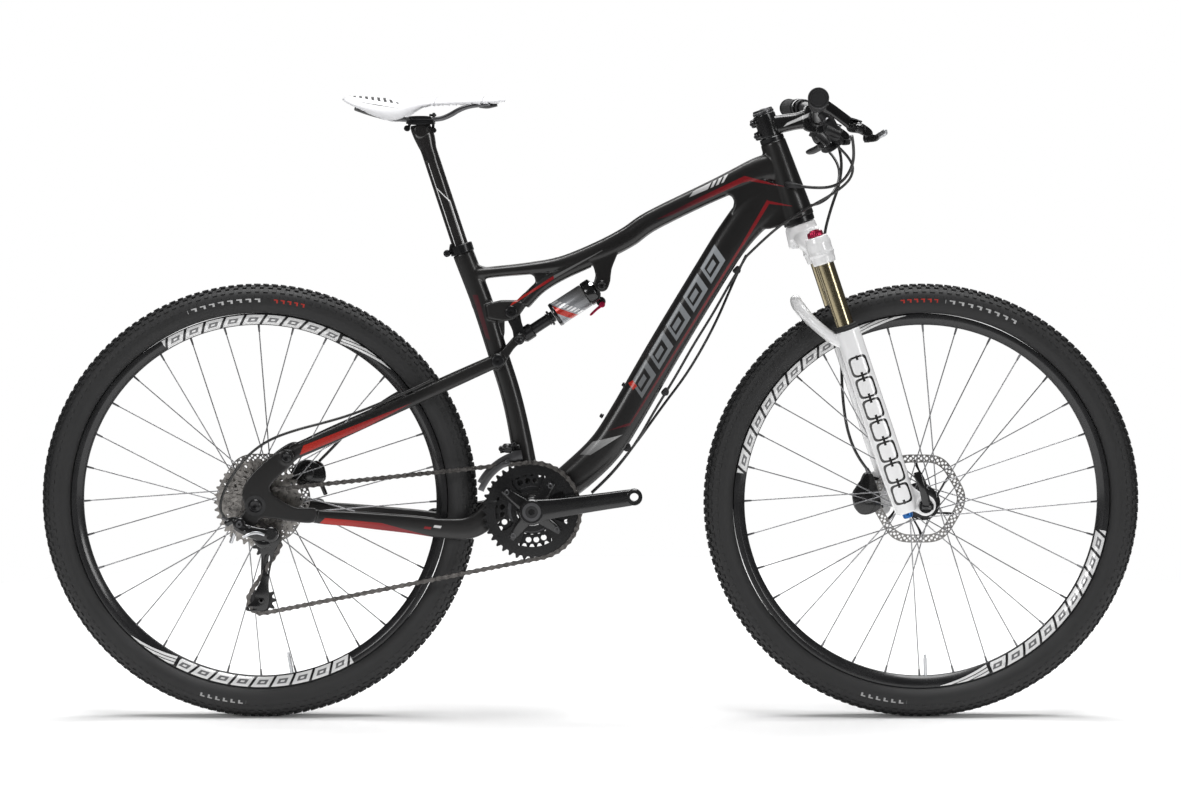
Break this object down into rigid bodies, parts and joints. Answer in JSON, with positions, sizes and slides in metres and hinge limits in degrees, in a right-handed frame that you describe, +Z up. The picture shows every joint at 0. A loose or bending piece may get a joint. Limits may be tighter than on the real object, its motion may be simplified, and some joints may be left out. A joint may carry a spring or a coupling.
{
  "type": "mountain bike",
  "caption": "Full-suspension 29-inch mountain bike: black carbon frame with four-bar rear end and air shock, white telescopic fork, disc brakes, triple crankset, white saddle, no pedals.",
  "frame": {"origin": "on the ground under the middle of the wheelbase", "axes": "+X forward, +Y to the rider's left, +Z up; the drive side faces -Y"},
  "size_m": [1.85, 0.703, 1.0511],
  "materials": {
    "carbon_frame": "satin lacquered carbon",
    "black_alloy": "black anodised",
    "dark_steel": "dark steel",
    "bright_steel": "bright steel",
    "white_paint": "gloss white paint",
    "bronze_tube": "hard anodised",
    "red_alloy": "red anodised",
    "blue_alloy": "blue anodised",
    "tyre": "matt rubber",
    "rubber": "matt rubber",
    "black_plastic": "moulded",
    "white_leather": "white cover",
    "silver_can": "grey paint",
    "housing": "gloss cable housing"
  },
  "bodies": {
    "frame": {"front_triangle": "carbon_frame", "bearing_cups": "black_alloy", "seat_clamp": "black_alloy", "frame_fittings": "dark_steel", "frame_housings": "housing", "front_derailleur": "dark_steel", "chain": "bright_steel"},
    "seatpost_unit": {"seatpost": "black_alloy", "saddle_clamp": "black_alloy", "saddle_rails": "dark_steel", "saddle": "white_leather"},
    "steering_unit": {"fork_crown": "white_paint", "stanchions": "bronze_tube", "stem": "black_alloy", "stem_faceplate": "black_alloy", "stem_fasteners": "dark_steel", "handlebar": "black_alloy", "grips": "rubber", "brake_cylinders": "black_alloy", "shifter_bodies": "black_plastic", "control_cables": "housing", "front_brake_hose": "housing"},
    "right_brake_lever": {"brake_lever_right": "black_alloy"},
    "left_brake_lever": {"brake_lever_left": "black_alloy"},
    "right_shift_lever": {"shift_lever_right": "black_plastic"},
    "left_shift_lever": {"shift_lever_left": "black_plastic"},
    "fork_lockout": {"lockout_knob": "red_alloy"},
    "fork_lower_unit": {"fork_lowers": "white_paint", "wiper_seals": "rubber", "front_caliper": "black_alloy", "front_axle": "black_alloy"},
    "fork_rebound": {"rebound_knob": "blue_alloy"},
    "front_axle_lever": {"front_qr_lever": "black_alloy"},
    "front_wheel": {"front_tyre": "tyre", "front_rim": "black_alloy", "front_spokes": "bright_steel", "front_hub": "black_alloy", "front_rotor": "bright_steel"},
    "swingarm_unit": {"swingarm": "carbon_frame", "rear_caliper": "black_alloy", "rear_axle": "black_alloy", "rear_derailleur": "black_alloy"},
    "derailleur_cage_unit": {"derailleur_cage": "black_alloy"},
    "upper_jockey": {"guide_pulley": "black_plastic"},
    "lower_jockey": {"tension_pulley": "black_plastic"},
    "rear_wheel": {"rear_tyre": "tyre", "rear_rim": "black_alloy", "rear_spokes": "bright_steel", "rear_hub": "black_alloy", "rear_rotor": "bright_steel"},
    "sprockets": {"cassette": "bright_steel"},
    "seatstay_unit": {"seatstays": "carbon_frame", "rear_hoses": "housing"},
    "rocker": {"rocker_link": "black_alloy"},
    "shock_can": {"shock_body": "silver_can"},
    "shock_rod": {"shock_shaft": "black_alloy"},
    "shock_lockout": {"shock_lockout_lever": "red_alloy"},
    "crank": {"crank_right": "black_alloy", "crank_left": "black_alloy", "chainrings": "black_alloy"}
  },
  "joints": [
    {"name": "seatpost_height", "type": "slide", "parent": "frame", "child": "seatpost_unit", "axis": [-0.3107, 0, 0.9505], "range_m": [-0.08, 0.02]},
    {"name": "steering", "type": "hinge", "parent": "frame", "child": "steering_unit", "pos_m": [0.3051, 0, 0.9723], "axis": [-0.3189, 0, 0.9478], "range_deg": [-50, 50], "deforming": ["control_cables"]},
    {"name": "right_brake_squeeze", "type": "hinge", "parent": "steering_unit", "child": "right_brake_lever", "pos_m": [0.443, -0.214, 0.976], "axis": [0, 0, 1], "range_deg": [0, 18], "stiffness_Nm_per_rad": 1.5, "springref_deg": -11.46},
    {"name": "left_brake_squeeze", "type": "hinge", "parent": "steering_unit", "child": "left_brake_lever", "pos_m": [0.443, 0.214, 0.976], "axis": [0, 0, -1], "range_deg": [0, 18], "stiffness_Nm_per_rad": 1.5, "springref_deg": -11.46},
    {"name": "right_shift_push", "type": "hinge", "parent": "steering_unit", "child": "right_shift_lever", "pos_m": [0.3985, -0.15, 0.9674], "axis": [0.3591, 0, -0.9333], "range_deg": [0, 25], "stiffness_Nm_per_rad": 0.3, "springref_deg": -11.46},
    {"name": "left_shift_push", "type": "hinge", "parent": "steering_unit", "child": "left_shift_lever", "pos_m": [0.3985, 0.15, 0.9674], "axis": [-0.3591, 0, 0.9333], "range_deg": [0, 25], "stiffness_Nm_per_rad": 0.3, "springref_deg": -11.46},
    {"name": "fork_lockout_turn", "type": "hinge", "parent": "steering_unit", "child": "fork_lockout", "pos_m": [0.37318, -0.065, 0.81479], "axis": [-0.3189, 0, 0.9478], "range_deg": [0, 90]},
    {"name": "fork_travel", "type": "slide", "parent": "steering_unit", "child": "fork_lower_unit", "axis": [-0.3189, 0, 0.9478], "range_m": [0, 0.1], "stiffness_N_per_m": 7000, "springref_m": -0.01, "deforming": ["front_brake_hose"]},
    {"name": "fork_rebound_turn", "type": "hinge", "parent": "fork_lower_unit", "child": "fork_rebound", "pos_m": [0.52801, -0.065, 0.35463], "axis": [-0.3189, 0, 0.9478], "range_deg": [0, 270]},
    {"name": "axle_lever_swing", "type": "hinge", "parent": "fork_lower_unit", "child": "front_axle_lever", "pos_m": [0.558, -0.085, 0.367], "axis": [1, 0, 0], "range_deg": [0, 100]},
    {"name": "front_wheel_spin", "type": "hinge", "parent": "fork_lower_unit", "child": "front_wheel", "pos_m": [0.558, 0, 0.367], "axis": [0, 1, 0], "continuous": true},
    {"name": "rear_suspension", "type": "hinge", "parent": "frame", "child": "swingarm_unit", "pos_m": [-0.125, 0, 0.405], "axis": [0, 1, 0], "range_deg": [0, 8.59], "stiffness_Nm_per_rad": 1700, "springref_deg": -0.57, "deforming": ["chain", "rear_hoses"]},
    {"name": "seatstay_pivot", "type": "hinge", "parent": "swingarm_unit", "child": "seatstay_unit", "pos_m": [-0.505, 0, 0.448], "axis": [0, 1, 0], "range_deg": [-3.5, 0.2]},
    {"name": "rocker_pivot", "type": "hinge", "parent": "frame", "child": "rocker", "pos_m": [-0.1328, 0, 0.6875], "axis": [0, 1, 0], "range_deg": [-42, 0.5]},
    {"name": "shock_pivot", "type": "hinge", "parent": "frame", "child": "shock_can", "pos_m": [0.0188, 0, 0.7323], "axis": [0, 1, 0], "range_deg": [-1, 1]},
    {"name": "shock_stroke", "type": "slide", "parent": "shock_can", "child": "shock_rod", "axis": [0.8381, 0, 0.5455], "range_m": [-0.001, 0.036]},
    {"name": "shock_lockout_turn", "type": "hinge", "parent": "shock_can", "child": "shock_lockout", "pos_m": [0.0196, -0.006, 0.6992], "axis": [0, 1, 0], "range_deg": [-80, 0]},
    {"name": "rear_wheel_spin", "type": "hinge", "parent": "swingarm_unit", "child": "rear_wheel", "pos_m": [-0.558, 0, 0.367], "axis": [0, 1, 0], "continuous": true},
    {"name": "crank_spin", "type": "hinge", "parent": "frame", "child": "crank", "pos_m": [-0.098, 0, 0.357], "axis": [0, 1, 0], "continuous": true},
    {"name": "sprocket_spin", "type": "hinge", "parent": "swingarm_unit", "child": "sprockets", "pos_m": [-0.558, 0, 0.367], "axis": [0, 1, 0], "continuous": true},
    {"name": "cage_swing", "type": "hinge", "parent": "swingarm_unit", "child": "derailleur_cage_unit", "pos_m": [-0.5315, 0, 0.3208], "axis": [0, 1, 0], "range_deg": [-7, 0.5]},
    {"name": "upper_jockey_spin", "type": "hinge", "parent": "derailleur_cage_unit", "child": "upper_jockey", "pos_m": [-0.541, 0, 0.302], "axis": [0, 1, 0], "continuous": true},
    {"name": "lower_jockey_spin", "type": "hinge", "parent": "derailleur_cage_unit", "child": "lower_jockey", "pos_m": [-0.5505, 0, 0.2065], "axis": [0, 1, 0], "continuous": true}
  ],
  "couplings": [
    {"joint": "seatstay_pivot", "follows": "rear_suspension", "ratio": -0.3461},
    {"joint": "rocker_pivot", "follows": "rear_suspension", "ratio": -4.634},
    {"joint": "shock_pivot", "follows": "rear_suspension", "ratio": -0.03},
    {"joint": "shock_stroke", "follows": "rear_suspension", "m_per_rad": 0.2174},
    {"joint": "cage_swing", "follows": "rear_suspension", "ratio": -0.65},
    {"joint": "sprocket_spin", "follows": "crank_spin", "ratio": 3.6364},
    {"joint": "upper_jockey_spin", "follows": "crank_spin", "ratio": -3.6364},
    {"joint": "lower_jockey_spin", "follows": "crank_spin", "ratio": 3.6364}
  ]
}
